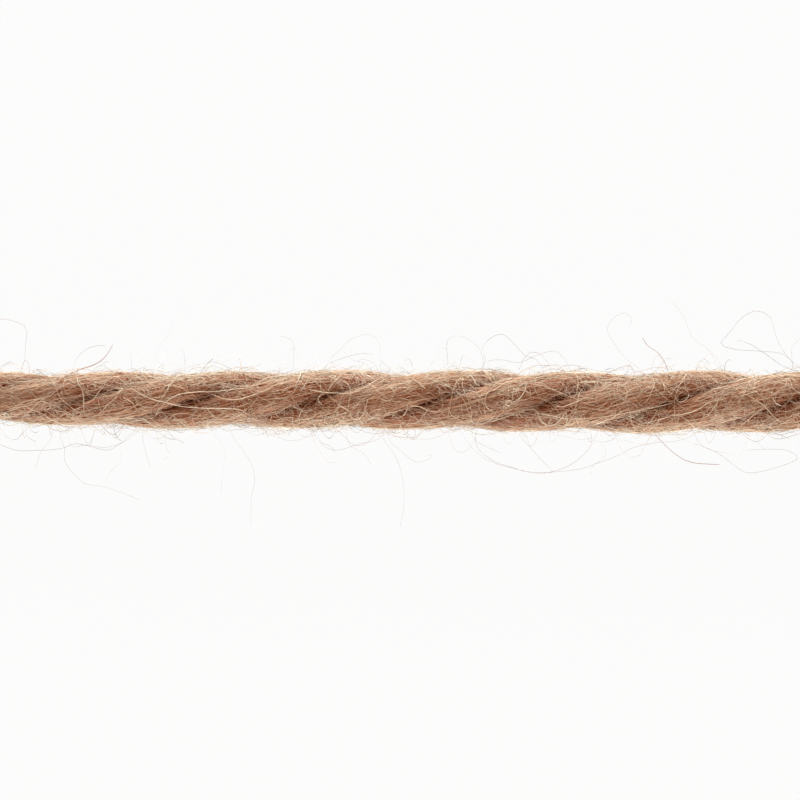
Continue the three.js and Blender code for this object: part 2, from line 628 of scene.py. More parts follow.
        mesh.name = name
        piece = bpy.data.objects.new(name, mesh)
        bpy.context.collection.objects.link(piece)
        self.keep_over_floor(mesh)
        self.turn_outwards(mesh)
        self.lay_out(mesh, count)
        return piece

    def turn_outwards(self, mesh: bpy.types.Mesh) -> None:
        """Lean the shading of the fibres towards that of the yarn's round back, as deep fuzz takes light.

        Args:
            mesh: The swept fibres.
        """
        own = np.empty(len(mesh.vertices) * 3, np.float32)
        mesh.vertices.foreach_get("normal", own)
        outward = np.empty(len(mesh.vertices) * 3, np.float32)
        mesh.attributes["outward"].data.foreach_get("vector", outward)
        mixed = (1 - self.lean) * own.reshape(-1, 3) + self.lean * outward.reshape(-1, 3)
        mixed /= np.maximum(np.linalg.norm(mixed, axis=1, keepdims=True), 1e-6)
        mesh.normals_split_custom_set_from_vertices(mixed.tolist())

    @staticmethod
    def keep_over_floor(mesh: bpy.types.Mesh) -> None:
        """Press what would sink into the surface flat on it.

        Args:
            mesh: The swept fibres.
        """
        spots = np.empty(len(mesh.vertices) * 3, np.float32)
        mesh.vertices.foreach_get("co", spots)
        spots[2::3] = np.maximum(spots[2::3], 0)
        mesh.vertices.foreach_set("co", spots)

    def lay_out(self, mesh: bpy.types.Mesh, count: int) -> None:
        """Give each fibre a cell of its own on a map for its colours.

        Args:
            mesh: The swept fibres.
            count: How many fibres it holds.
        """
        # A cell's width over its height, where a fibre starts in it and how much of it the fibre takes, along
        # and round itself, and the width of an end cap.
        stretch = 3
        tip, run = 0.06, 0.86
        edge, turn_run = 0.1, 0.8
        cap = 0.04
        columns = max(int(math.sqrt(count / stretch)), 1)
        rows = math.ceil(count / columns)
        corners = np.empty(len(mesh.loops), np.int32)
        mesh.loops.foreach_get("vertex_index", corners)
        fibre, share = np.empty(len(mesh.vertices), np.float32), np.empty(len(mesh.vertices), np.float32)
        mesh.attributes["fibre"].data.foreach_get("value", fibre)
        mesh.attributes["share"].data.foreach_get("value", share)
        starts = np.empty(len(mesh.polygons), np.int32)
        sizes = np.empty(len(mesh.polygons), np.int32)
        mesh.polygons.foreach_get("loop_start", starts)
        mesh.polygons.foreach_get("loop_total", sizes)
        face = np.repeat(np.arange(len(starts)), sizes)
        turn = (corners % self.sides).astype(float)
        closing = np.minimum.reduceat(turn, starts) == 0
        closing &= np.maximum.reduceat(turn, starts) == self.sides - 1
        closing &= sizes == 4
        turn[closing[face] & (turn == 0)] = self.sides
        along = share[corners].astype(float)
        along[(sizes[face] == self.sides) & (turn == 1)] += cap
        cell = np.rint(fibre[corners]).astype(int)
        layer = mesh.uv_layers.new(name="OFBake")
        spot = np.empty((len(corners), 2), np.float32)
        spot[:, 0] = (cell % columns + tip + run * along) / columns
        spot[:, 1] = (cell // columns + edge + turn_run * turn / self.sides) / rows
        layer.data.foreach_set("uv", spot.ravel())


def move_inside(x: Numbers, limit: float) -> Numbers:
    """Move whole fibres along the yarn until none passes its limit.

    Args:
        x: Places along the yarn, fibres by points.
        limit: Greatest distance from mid-length.

    Returns:
        The moved places.
    """
    x = x - np.maximum(x.max(1, keepdims=True) - limit, 0)
    return x + np.maximum(-limit - x.min(1, keepdims=True), 0)


def smooth_line(points: Points, steps: int) -> Points:
    """Draw an even, smooth line through a few points.

    Args:
        points: The points, with a last axis of any size.
        steps: Points on the new line.

    Returns:
        The new line's points.
    """
    points = np.asarray(points, float)
    lengths = np.concatenate([[0], np.cumsum(np.linalg.norm(np.diff(points, axis=0), axis=1))])
    return ease(points, np.interp(np.linspace(0, lengths[-1], steps), lengths, np.arange(len(points))))


def taper(steps: int, ends: float) -> Numbers:
    """Thickness along a fibre: full in the middle and thinner at both tips.

    Args:
        steps: Number of points.
        ends: Thickness at the tips.

    Returns:
        One factor for each point.
    """
    t = np.linspace(-1, 1, steps)
    return ends + (1 - ends) * (1 - t ** 6)


def waves(rng: np.random.Generator, count: int, steps: int, slowest: float, fastest: float) -> Numbers:
    """Smooth random lines, each the sum of three waves, of height about 1.

    Args:
        rng: Source of random numbers.
        count: Number of lines.
        steps: Points on each.
        slowest: Fewest turns along a line.
        fastest: Most turns along a line.

    Returns:
        An array of lines by points.
    """
    t = np.linspace(0, 1, steps)
    total = np.zeros((count, steps))
    for _ in range(3):
        turns = rng.uniform(slowest, fastest, (count, 1))
        total += np.sin(TURN * (turns * t + rng.random((count, 1)))) * rng.uniform(0.4, 1, (count, 1))
    return total / 1.3


def wander(course: Numbers, length: Numbers) -> tuple[Numbers, Numbers]:
    """Walk fibres over the yarn's unrolled surface.

    Args:
        course: Angles to the yarn's length in radians, fibres by points.
        length: Length of each fibre.

    Returns:
        Places along the yarn, measured from each fibre's middle, and places across it.
    """
    step = length / (course.shape[1] - 1)
    x = np.cumsum(np.cos(course) * step, 1)
    return x - x.mean(1, keepdims=True), np.cumsum(np.sin(course) * step, 1)


def bow(rng: np.random.Generator, count: int, steps: int) -> Numbers:
    """Raise fibres off the yarn, some as loops and the rest with a free tip.

    Args:
        rng: Source of random numbers.
        count: Number of fibres.
        steps: Points on each.

    Returns:
        Height at each point, as a share of the fibre's greatest height.
    """
    looped = rng.random((count, 1)) < LOOPED_SHARE
    t = np.linspace(0, 1, steps)
    return np.where(looped, Rise.LOOP.lift(t), Rise.FREE.lift(t))


@dataclass
class CombedFibres:
    """The fibres that lie along a ply in bundles, untwisted by the plying, and dive into the furrows.

    Layers are shares of the way from the ply's heart to its skin. Deep fibres get darker tones than those in
    the usual layer, and so do those that face a furrow: painted shade for depth and furrow. The dive is left
    out near the cut ends.
    """

    form: YarnForm
    ply: Ply
    bundles: int = 300
    fibres_a_bundle: int = 8
    steps: int = 9
    length: tuple[float, float] = (5.5, 12.0)
    facing: float = 88.0
    untwist: float = 0.86
    outermost: float = 0.975
    sinking: float = 0.035
    usual_layer: float = 0.947
    raised_share: float = 0.15
    raised: tuple[float, float] = (0.02, 0.11)
    winding: float = 0.12
    dive: float = 0.1
    dive_fade: float = 3.0
    tone: float = 0.46
    # Tone lost below the usual layer, and in a furrow: painted shade.
    painted_shade: float = 1.2
    painted_furrow_shade: float = 0.2
    seed: int = 11

    def batch(self) -> FibreBatch:
        """Lay the bundles and the fibres in each.

        Returns:
            The fibres.
        """
        rng = np.random.default_rng(self.seed)
        half = self.form.length / 2
        whole = (self.bundles, 1)
        middle = rng.uniform(-half - 1, half + 1, whole)
        facing = np.radians(rng.uniform(-self.facing, self.facing, whole))
        untwist = rng.normal(self.untwist, 0.2, whole)
        layer = self.outermost - np.abs(rng.normal(0, self.sinking, whole))
        tone = rng.normal(self.tone, 0.055, whole)
        each = (self.bundles, self.fibres_a_bundle)
        count = self.bundles * self.fibres_a_bundle
        middle = (middle + rng.normal(0, 1.5, each)).reshape(count, 1)
        facing = (facing + rng.normal(0, 0.09, each)).reshape(count, 1)
        untwist = (untwist + rng.normal(0, 0.1, each)).reshape(count, 1)
        layer = layer + rng.normal(0, 0.02, each)
        raised = rng.random(each) < self.raised_share
        layer = (layer + np.where(raised, rng.uniform(*self.raised, each), 0)).reshape(count, 1)
        tone = (tone + rng.normal(0, 0.11, each)).reshape(count, 1)
        # Deeper fibres get a lower tone: painted shade for their depth.
        tone = tone + self.painted_shade * (layer - self.usual_layer)
        t = np.linspace(-0.5, 0.5, self.steps)
        run = rng.uniform(*self.length, (count, 1)) * t
        x = move_inside(middle + run, half)
        angle = facing - untwist * TURN / self.form.pitch * run
        angle = angle + self.winding * waves(rng, count, self.steps, 0.4, 2.4)
        dive = self.dive * (2 * t) ** 4 * np.clip((half - np.abs(x)) / self.dive_fade, 0, 1)
        depth = layer - dive + 0.012 * waves(rng, count, self.steps, 0.5, 2)
        # Fibres that face a furrow get a lower tone: painted furrow shade.
        tone = tone - self.painted_furrow_shade * (1 - np.cos(angle)) ** 2
        points = self.form.on_ply(self.ply, x, angle, depth)
        outward = self.form.outward(x, self.form.heading(self.ply, x) + angle)
        girth = rng.uniform(0.75, 1.25, (count, 1)) * taper(self.steps, 0.3)
        return FibreBatch(points, outward, girth, tone)


@dataclass
class CrossingFibres:
    """Pale, coarser fibres that have worked loose and lie across the plies in bends."""

    form: YarnForm
    count: int = 320
    steps: int = 16
    length: tuple[float, float] = (2.0, 9.0)
    bend: float = 0.7
    bends: tuple[float, float] = (0.2, 0.9)
    lift: tuple[float, float] = (-0.06, 0.14)
    dip: float = 0.08
    girth: tuple[float, float] = (0.9, 1.4)
    tone: float = 0.82
    # Tone lost in the furrows between the plies: painted furrow shade.
    painted_shade: float = 0.6
    seed: int = 23

    def batch(self) -> FibreBatch:
        """Lead each fibre over the yarn's outline on a winding course.

        Returns:
            The fibres.
        """
        rng = np.random.default_rng(self.seed)
        half = self.form.length / 2
        one = (self.count, 1)
        length = rng.uniform(*self.length, one) * rng.uniform(0.5, 1, one)
        course = rng.normal(0, 0.6, one) + self.bend * waves(rng, self.count, self.steps, *self.bends)
        x, across = wander(course, length)
        x = move_inside(x + rng.uniform(-half, half, one), half)
        angle = rng.uniform(0, TURN, one) + (across - across.mean(1, keepdims=True)) / self.form.radius
        t = np.linspace(-1, 1, self.steps)
        lift = rng.uniform(*self.lift, one) - 0.1 * t ** 4
        points = self.form.around(x, angle, lift, self.dip)
        girth = rng.uniform(*self.girth, one) * taper(self.steps, 0.4)
        # A fibre's tone drops where it lies in a furrow: painted furrow shade.
        tone = rng.normal(self.tone, 0.17, one) - self.painted_shade * self.form.furrow(x, angle) ** 2
        return FibreBatch(points, self.form.outward(x, angle), girth, tone)


@dataclass
class HaloFibres:
    """Fine fibres that stand out from the yarn in arcs and loops, a few of them several times as far."""

    form: YarnForm
    count: int = 800
    steps: int = 14
    length: tuple[float, float] = (2.0, 7.0)
    reach: float = 0.27
    far_share: float = 0.05
    far_reach: float = 1.08
    root: float = 0.12
    tone: float = 0.6
    seed: int = 31

    def batch(self) -> FibreBatch:
        """Send each fibre out from the yarn and, mostly, back to it.

        Returns:
            The fibres.
        """
        rng = np.random.default_rng(self.seed)
        half = self.form.length / 2
        one = (self.count, 1)
        reach = np.where(rng.random(one) < 1 - self.far_share, self.reach, self.far_reach)
        height = rng.exponential(reach)
        length = rng.uniform(*self.length, one) + 2 * height
        course = rng.normal(0, 0.5, one) + 0.6 * waves(rng, self.count, self.steps, 0.3, 1.2)
        x, across = wander(course, length)
        x = move_inside(x + rng.uniform(-half, half, one), half + 1)
        angle = rng.uniform(0, TURN, one) + (across - across[:, :1]) / self.form.radius
        lift = height * bow(rng, self.count, self.steps) - self.root
        lift = lift + 0.12 * height * waves(rng, self.count, self.steps, 0.5, 2)
        points = self.form.around(x, angle, lift)
        girth = rng.uniform(0.45, 0.8, one) * taper(self.steps, 0.4)
        tone = rng.normal(self.tone, 0.15, self.count)
        return FibreBatch(points, self.form.outward(x, angle), girth, tone)


@dataclass
class FuzzFibres:
    """Short, pale, fine fibres that stand just off the yarn all round and soften its outline."""

    form: YarnForm
    count: int = 4400
    steps: int = 8
    length: tuple[float, float] = (0.8, 3.2)
    height: float = 0.14
    least_height: float = 0.06
    root: float = 0.12
    dip: float = 0.15
    tone: float = 0.75
    # Tone lost in the furrows between the plies: painted furrow shade.
    painted_shade: float = 1.5
    seed: int = 37

    def batch(self) -> FibreBatch:
        """Bow each fibre out of the yarn's surface, or let one tip stand free.

        Returns:
            The fibres.
        """
        rng = np.random.default_rng(self.seed)
        half = self.form.length / 2
        one = (self.count, 1)
        length = rng.uniform(*self.length, one)
        course = rng.normal(0, 0.75, one) + 0.9 * waves(rng, self.count, self.steps, 0.2, 0.8)
        x, across = wander(course, length)
        x = move_inside(x + rng.uniform(-half, half, one), half + 0.3)
        angle = rng.uniform(0, TURN, one) + (across - across.mean(1, keepdims=True)) / self.form.radius
        height = rng.exponential(self.height, one) + self.least_height
        lift = height * bow(rng, self.count, self.steps) - self.root
        points = self.form.around(x, angle, lift, self.dip)
        girth = rng.uniform(0.5, 0.9, one) * taper(self.steps, 0.4)
        # A fibre's tone drops where it lies in a furrow: painted furrow shade.
        tone = rng.normal(self.tone, 0.15, one) - self.painted_shade * self.form.furrow(x, angle) ** 2
        return FibreBatch(points, self.form.outward(x, angle), girth, tone)


@dataclass(frozen=True)
class Hair:
    """One listed hair: the places that it passes, along the yarn and across it."""

    course: tuple[tuple[float, float], ...]
    girth: float = 0.8
    tone: float = 0.6
    tip: float = 0.6


# Hairs and loops that stand off the yarn on its far side, from left to right.
HAIRS_ABOVE = (
    Hair(((-32.5, 1.8), (-32.0, 3.5), (-30.5, 5.4), (-28.6, 5.9), (-27.0, 5.5), (-26.7, 5.0), (-26.8, 3.9),
          (-26.9, 2.8), (-27.3, 1.9)), 1.0, 0.3, 0.3),
    Hair(((-23.5, 1.7), (-23.2, 3.0), (-22.5, 3.7), (-21.7, 4.0), (-21.0, 4.0)), 1.0, 0.4, 0.4),
    Hair(((-16.3, 5.7), (-16.4, 5.0), (-17.2, 4.0), (-17.5, 3.3), (-17.7, 1.9)), 0.6),
    Hair(((-19.2, 3.5), (-19.2, 2.8), (-19.1, 1.8)), 0.7),
    Hair(((-15.7, 4.0), (-15.4, 3.3), (-15.4, 2.3), (-15.6, 1.8)), 0.8, 0.3, 0.3),
    Hair(((-8.6, 4.7), (-7.7, 4.3), (-7.6, 3.4), (-7.7, 1.9)), 0.7),
    Hair(((-5.6, 1.8), (-5.1, 2.9), (-4.3, 3.7), (-3.4, 4.5), (-2.4, 4.8), (-1.6, 4.4), (-1.4, 3.5),
          (-1.4, 1.9)), 0.9),
    Hair(((-4.1, 3.7), (-3.4, 3.0), (-2.5, 2.7), (-1.8, 1.9)), 0.7),
    Hair(((-3.2, 1.8), (-2.9, 2.5), (-2.9, 3.0), (-2.1, 2.9), (-1.7, 2.5), (-1.5, 1.8)), 0.9, 0.4, 0.4),
    Hair(((-1.4, 3.0), (-0.9, 2.5), (-0.4, 2.1), (0.2, 1.8)), 0.9, 0.4, 0.4),
    Hair(((2.9, 1.9), (2.8, 2.8), (2.6, 3.7), (3.4, 3.7), (3.2, 2.8), (3.3, 1.9)), 0.7),
    Hair(((3.5, 1.9), (3.4, 3.0), (3.4, 4.3), (4.1, 4.7), (5.1, 4.3), (5.8, 3.5), (6.0, 1.9)), 0.8),
    Hair(((5.6, 1.8), (5.9, 2.5), (6.1, 3.0), (5.9, 3.8), (6.4, 4.5), (7.3, 4.8), (8.0, 4.3), (8.9, 3.3),
          (9.7, 3.0), (10.4, 2.0)), 1.1, 0.3, 0.3),
    Hair(((5.8, 1.9), (6.1, 2.8), (7.2, 3.0), (8.6, 2.8), (10.0, 3.4), (11.1, 3.6), (11.8, 3.0), (12.3, 1.9)),
         1.0, 0.35, 0.35),
    Hair(((17.4, 1.8), (17.1, 2.3), (16.2, 3.0), (15.5, 3.9), (14.8, 5.0), (15.1, 5.8), (15.9, 6.3),
          (16.6, 5.9), (16.4, 5.4)), 0.9, 0.4, 0.3),
    Hair(((22.8, 1.9), (22.5, 2.8), (22.0, 3.7), (20.9, 4.6), (20.2, 6.2), (19.3, 7.3)), 0.6),
    Hair(((29.2, 1.8), (28.4, 2.5), (27.5, 3.4), (26.8, 4.8), (26.5, 6.0), (25.4, 6.5), (24.3, 5.9),
          (23.6, 5.0), (22.9, 4.1), (24.1, 3.7), (25.7, 3.6), (27.3, 3.4), (28.0, 2.8), (28.4, 1.9)),
         1.1, 0.3, 0.3),
    Hair(((28.1, 1.9), (28.0, 2.8), (28.0, 3.9), (28.6, 4.5), (29.6, 4.9)), 0.9, 0.4, 0.4),
)

# Hairs and loops that stand off the yarn on its near side.
HAIRS_BELOW = (
    Hair(((-31.5, -1.6), (-30.4, -2.6), (-28.6, -3.1), (-27.5, -3.5), (-26.0, -3.5), (-24.3, -3.4),
          (-23.2, -3.0), (-22.2, -3.2), (-20.9, -3.5), (-19.9, -2.9), (-18.8, -1.9)), 1.2, 0.45, 0.45),
    Hair(((-23.9, -1.9), (-23.5, -3.2), (-22.4, -3.1), (-21.1, -3.3), (-20.0, -3.0), (-19.2, -2.5),
          (-18.5, -1.9)), 1.0),
    Hair(((-24.4, -1.6), (-24.3, -2.5), (-24.0, -3.3), (-24.0, -4.2), (-23.5, -5.0), (-22.5, -5.9),
          (-21.1, -6.1), (-19.7, -6.6), (-18.6, -7.0)), 0.8, 0.4, 0.4),
    Hair(((-26.9, -1.4), (-26.8, -2.0), (-26.7, -2.5), (-26.0, -2.9)), 1.0, 0.3, 0.1),
    Hair(((-24.9, -1.6), (-25.0, -2.7), (-25.7, -3.6), (-26.1, -4.9)), 0.7),
    Hair(((-18.3, -1.8), (-18.4, -2.4), (-18.2, -3.6), (-17.8, -4.8)), 0.9, 0.4, 0.3),
    Hair(((-20.1, -1.8), (-20.0, -3.1), (-20.0, -4.2), (-20.9, -5.3), (-20.9, -6.1)), 0.7),
    Hair(((-16.8, -1.9), (-16.7, -3.3), (-16.4, -3.8), (-17.0, -4.2)), 0.7),
    Hair(((-16.6, -1.9), (-16.3, -2.5), (-15.4, -3.0)), 1.0, 0.4, 0.2),
    Hair(((-13.6, -1.8), (-13.3, -2.3), (-12.5, -3.5), (-12.7, -4.9), (-12.8, -7.0)), 0.7),
    Hair(((-12.2, -1.8), (-11.8, -2.7), (-10.7, -4.3), (-10.4, -5.6), (-10.6, -6.8), (-10.7, -8.8)), 0.7),
    Hair(((-6.5, -1.5), (-6.3, -1.9), (-5.8, -2.9), (-4.6, -3.5), (-2.9, -3.0), (-1.6, -2.7), (-1.0, -1.8)),
         1.0, 0.45, 0.45),
    Hair(((-5.9, -1.7), (-5.7, -2.8), (-5.0, -3.2), (-4.6, -3.7)), 0.9, 0.35, 0.2),
    Hair(((-1.3, -1.8), (-1.1, -2.8), (-0.4, -3.8), (0.1, -5.0), (0.3, -7.0), (0.0, -9.0)), 0.8, 0.4, 0.4),
    Hair(((-0.9, -1.8), (-0.7, -2.8), (0.0, -3.5), (1.1, -4.3), (2.1, -4.1), (2.3, -3.8), (1.8, -3.9)), 0.8),
    Hair(((-3.9, -1.8), (-3.6, -3.1), (-2.5, -3.8), (-2.0, -4.7)), 0.7),
    Hair(((5.5, -1.8), (5.4, -2.8), (5.7, -3.5), (6.8, -4.3), (8.0, -4.7), (8.9, -5.0), (10.4, -5.1),
          (11.8, -4.7), (12.9, -4.0), (13.6, -3.2), (14.2, -2.0)), 1.2, 0.4, 0.4),
    Hair(((4.2, -1.9), (5.1, -3.3), (6.5, -4.3), (8.6, -4.9), (9.7, -5.1), (11.2, -5.0), (12.9, -4.8),
          (14.7, -4.2), (15.7, -3.8), (16.9, -3.2), (18.6, -2.9), (20.0, -2.8), (21.6, -2.0)), 1.0),
    Hair(((4.9, -1.9), (5.4, -2.8), (6.3, -3.3), (7.3, -3.7)), 0.8, 0.3, 0.2),
    Hair(((8.4, -1.9), (8.6, -2.5), (9.3, -3.3), (10.4, -4.5), (10.9, -5.0)), 0.8, 0.3, 0.3),
    Hair(((14.3, -1.8), (14.4, -2.8), (14.7, -3.8), (13.7, -4.7), (13.7, -5.6)), 0.9, 0.4, 0.3),
    Hair(((20.8, -1.9), (21.5, -3.1), (22.9, -3.8), (24.5, -5.0), (25.7, -5.0), (27.5, -4.5), (28.4, -4.0),
          (27.7, -3.5), (26.2, -3.4), (24.7, -3.5)), 0.9, 0.35, 0.35),
    Hair(((25.5, -1.8), (25.4, -2.4), (25.7, -3.1), (26.2, -3.5)), 0.8),
)

# Coarse hairs that stand off the yarn, with brown tips.
COARSE_HAIRS = (
    Hair(((-24.4, 1.3), (-23.7, 1.9), (-22.9, 2.3), (-22.0, 2.6), (-21.4, 2.9), (-20.9, 3.4), (-20.5, 4.1)),
         2.0, 0.65, 0.3),
    Hair(((19.4, 1.5), (19.1, 2.3), (18.9, 2.8), (18.4, 3.5), (17.7, 4.0), (17.3, 4.6)), 1.2, 0.45, 0.3),
    Hair(((17.8, -1.6), (18.2, -2.3), (19.1, -3.3), (20.2, -4.1), (21.1, -4.4), (22.8, -4.5)),
         1.2, 0.55, 0.1),
)

# Pale single hairs that lie over the plies, from left to right.
HAIRS_ACROSS = (
    Hair(((-28.6, 0.95), (-28.0, 0.75), (-27.2, 0.8), (-26.3, 0.95), (-25.0, 1.1), (-24.2, 1.05)),
         1.3, 0.8, 0.8),
    Hair(((-27.4, -0.45), (-26.8, -0.1), (-25.9, 0.15), (-25.0, 0.3), (-24.4, 0.7), (-24.0, 0.95)),
         1.1, 0.8, 0.8),
    Hair(((-27.2, 0.4), (-26.8, -0.05), (-26.5, -0.7)), 1.0, 0.85, 0.85),
    Hair(((-25.5, 0.05), (-25.0, -0.1), (-24.0, -0.5), (-23.3, -0.95)), 1.5, 1.05, 1.05),
    Hair(((-24.3, 0.9), (-24.0, 0.2), (-23.1, -0.55), (-22.6, -0.85)), 1.3, 0.75, 0.75),
    Hair(((-22.9, 1.7), (-22.8, 1.25), (-22.5, 0.8), (-22.4, 0.05), (-22.4, -0.6)), 1.5, 1.15, 1.05),
    Hair(((-22.6, 1.3), (-22.0, 0.75), (-21.4, 0.9), (-20.9, 1.4), (-20.3, 1.8)), 1.3, 0.85, 0.85),
    Hair(((-22.5, -0.2), (-21.8, 0.05), (-21.3, 0.7), (-20.9, 1.25)), 1.1, 0.85, 0.85),
    Hair(((-21.1, 0.55), (-20.7, 0.4), (-20.1, 0.5), (-19.5, 0.95)), 1.4, 0.9, 0.9),
    Hair(((-19.7, 0.95), (-20.1, 0.25), (-20.7, -0.3), (-21.3, -0.85), (-22.2, -1.2)), 1.4, 0.85, 0.85),
    Hair(((-20.1, 1.8), (-19.4, 1.2), (-18.6, 0.7), (-17.7, 0.25), (-16.5, -0.1), (-15.4, -0.35),
          (-14.3, -0.45), (-12.5, -0.5), (-11.3, -0.6), (-10.7, -0.95), (-10.1, -1.4)), 1.6, 0.95, 0.9),
    Hair(((-19.6, 0.3), (-19.0, -0.05), (-18.6, -0.55)), 1.2, 0.9, 0.9),
    Hair(((-17.3, -1.0), (-17.1, -0.6), (-16.6, -0.1), (-16.0, 0.3), (-15.4, 0.55), (-14.3, 0.65),
          (-13.1, 0.7), (-11.9, 0.85), (-10.7, 0.95), (-10.0, 1.0)), 1.6, 0.9, 0.85),
    Hair(((-13.3, 0.5), (-12.5, 0.2), (-11.6, 0.15), (-10.7, 0.35), (-9.7, 0.7), (-8.8, 1.15), (-7.9, 1.35)),
         1.5, 0.85, 0.85),
    Hair(((-7.0, 0.75), (-6.7, 1.25), (-6.4, 1.75)), 1.1, 1.0, 1.0),
    Hair(((-6.4, 0.85), (-5.8, 0.7), (-4.7, 0.6), (-3.4, 0.6), (-2.4, 1.05), (-1.5, 1.6), (-0.9, 1.85)),
         1.6, 0.9, 0.8),
    Hair(((-5.1, 0.7), (-4.8, 1.2), (-4.2, 1.85)), 1.3, 0.85, 0.85),
    Hair(((-5.5, -0.25), (-5.8, 0.15), (-5.7, 0.4), (-5.4, 0.6)), 1.3, 1.1, 1.0),
    Hair(((-7.0, -1.3), (-6.3, -1.15), (-5.6, -0.7)), 1.2, 0.9, 0.9),
    Hair(((-4.4, -0.25), (-3.7, -0.6), (-3.4, -1.15), (-3.0, -1.25), (-2.5, -0.7), (-2.3, 0.2)),
         1.3, 0.85, 0.85),
    Hair(((-0.8, 1.1), (-0.4, 0.6), (-0.8, 0.05), (-1.5, 0.3)), 1.3, 0.8, 0.8),
    Hair(((0.8, 1.7), (1.4, 1.25), (1.8, 0.9)), 1.6, 0.95, 0.95),
    Hair(((0.7, -0.25), (1.4, -0.35), (1.9, -0.6)), 2.0, 0.8, 0.8),
    Hair(((2.7, 0.8), (2.9, 0.25), (3.0, -0.3), (2.6, -0.75), (1.8, -0.6)), 1.2, 0.85, 0.85),
    Hair(((3.4, -0.4), (3.6, -0.95), (4.0, -1.2)), 1.2, 0.85, 0.85),
    Hair(((6.7, 0.8), (6.2, 0.65), (6.0, 0.15), (6.1, -0.4), (6.7, -0.75)), 1.3, 0.85, 0.85),
    Hair(((7.6, 1.45), (7.0, 1.05), (6.4, 0.7), (5.7, 0.45)), 1.2, 0.85, 0.85),
    Hair(((8.9, 1.25), (8.7, 0.6), (8.2, 0.05), (7.7, -0.1)), 1.5, 0.95, 0.95),
    Hair(((6.4, -1.45), (7.1, -1.2), (7.9, -0.95), (8.4, -0.75), (8.9, -0.6)), 1.6, 1.2, 1.0),
    Hair(((8.7, -0.6), (9.6, -0.6), (10.0, -1.4), (10.6, -1.7), (11.2, -1.4), (11.7, -0.75)), 1.4, 0.9, 0.9),
    Hair(((11.7, -0.75), (11.8, -1.3), (11.6, -1.75)), 1.3, 0.95, 0.95),
    Hair(((10.9, -0.2), (11.4, -0.4), (12.4, -0.05), (13.2, 0.25), (13.9, 0.1)), 1.3, 0.85, 0.85),
    Hair(((9.5, -0.75), (10.9, -1.05), (11.9, -1.2), (14.3, -1.1), (17.0, -0.6), (18.2, -0.35), (19.2, -0.1)),
         1.2, 0.85, 0.85),
    Hair(((14.3, 0.8), (15.1, 1.25), (15.9, 0.95), (16.0, 0.4), (15.7, -0.1)), 1.3, 0.85, 0.85),
    Hair(((16.9, -1.55), (17.4, -1.7), (17.9, -1.2), (18.2, -0.5)), 1.2, 0.95, 0.95),
    Hair(((18.6, 1.25), (18.7, 0.8)), 1.3, 1.1, 1.1),
    Hair(((19.2, 0.75), (19.9, 1.3), (20.6, 1.7), (21.0, 2.05)), 1.2, 0.85, 0.85),
    Hair(((19.4, 0.4), (19.7, -0.05), (20.2, 0.15), (20.4, 0.6), (20.0, 0.95)), 1.2, 0.9, 0.9),
    Hair(((22.0, 0.9), (22.5, 0.9), (23.3, 0.9)), 1.5, 1.1, 1.1),
    Hair(((19.1, -0.95), (19.9, -0.9), (20.9, -0.6), (21.8, -0.05), (23.0, 0.2)), 1.4, 0.95, 0.95),
    Hair(((22.5, 0.4), (22.3, -0.2), (21.7, -0.95)), 1.2, 0.9, 0.9),
    Hair(((24.0, 0.4), (25.2, 0.75)), 1.3, 0.9, 0.9),
    Hair(((24.7, 1.5), (24.7, 0.9)), 1.3, 1.0, 1.0),
    Hair(((24.6, 0.4), (25.8, -0.4), (26.4, -1.05), (27.1, -1.6)), 1.3, 0.85, 0.85),
    Hair(((24.2, -1.75), (25.1, -0.85), (26.0, -0.1)), 1.3, 0.85, 0.85),
    Hair(((26.3, 0.25), (26.5, -0.1), (26.9, -0.3)), 1.5, 1.3, 1.2),
    Hair(((25.2, -1.7), (26.1, -1.7)), 1.3, 1.1, 1.1),
)


@dataclass
class StrayHairs:
    """The listed hairs, each a smooth line over or beside the yarn.

    The fineness thins all of them alike, and each runs from its own tone to that of its tip.
    """

    form: YarnForm
    hairs: tuple[Hair, ...]
    steps: int = 26
    lift: float = 0.1
    fineness: float = 1.0

    def batch(self) -> FibreBatch:
        """Draw each hair through its places and lay it on the yarn's outline.

        Returns:
            The hairs.
        """
        plan = np.stack([smooth_line(np.array(hair.course), self.steps) for hair in self.hairs])
        points = self.form.over(plan[..., 0], plan[..., 1], self.lift)
        side = plan[..., 1] - self.form.along(plan[..., 0])[0]
        angle = np.arcsin(np.clip(side / self.form.radius, -1, 1))
        share = np.linspace(0, 1, self.steps) ** 3
        girth = self.fineness * np.array([[hair.girth] for hair in self.hairs]) * taper(self.steps, 0.5)
        tone = np.array([hair.tone + (hair.tip - hair.tone) * share for hair in self.hairs])
        return FibreBatch(points, self.form.outward(plan[..., 0], angle), girth, tone)


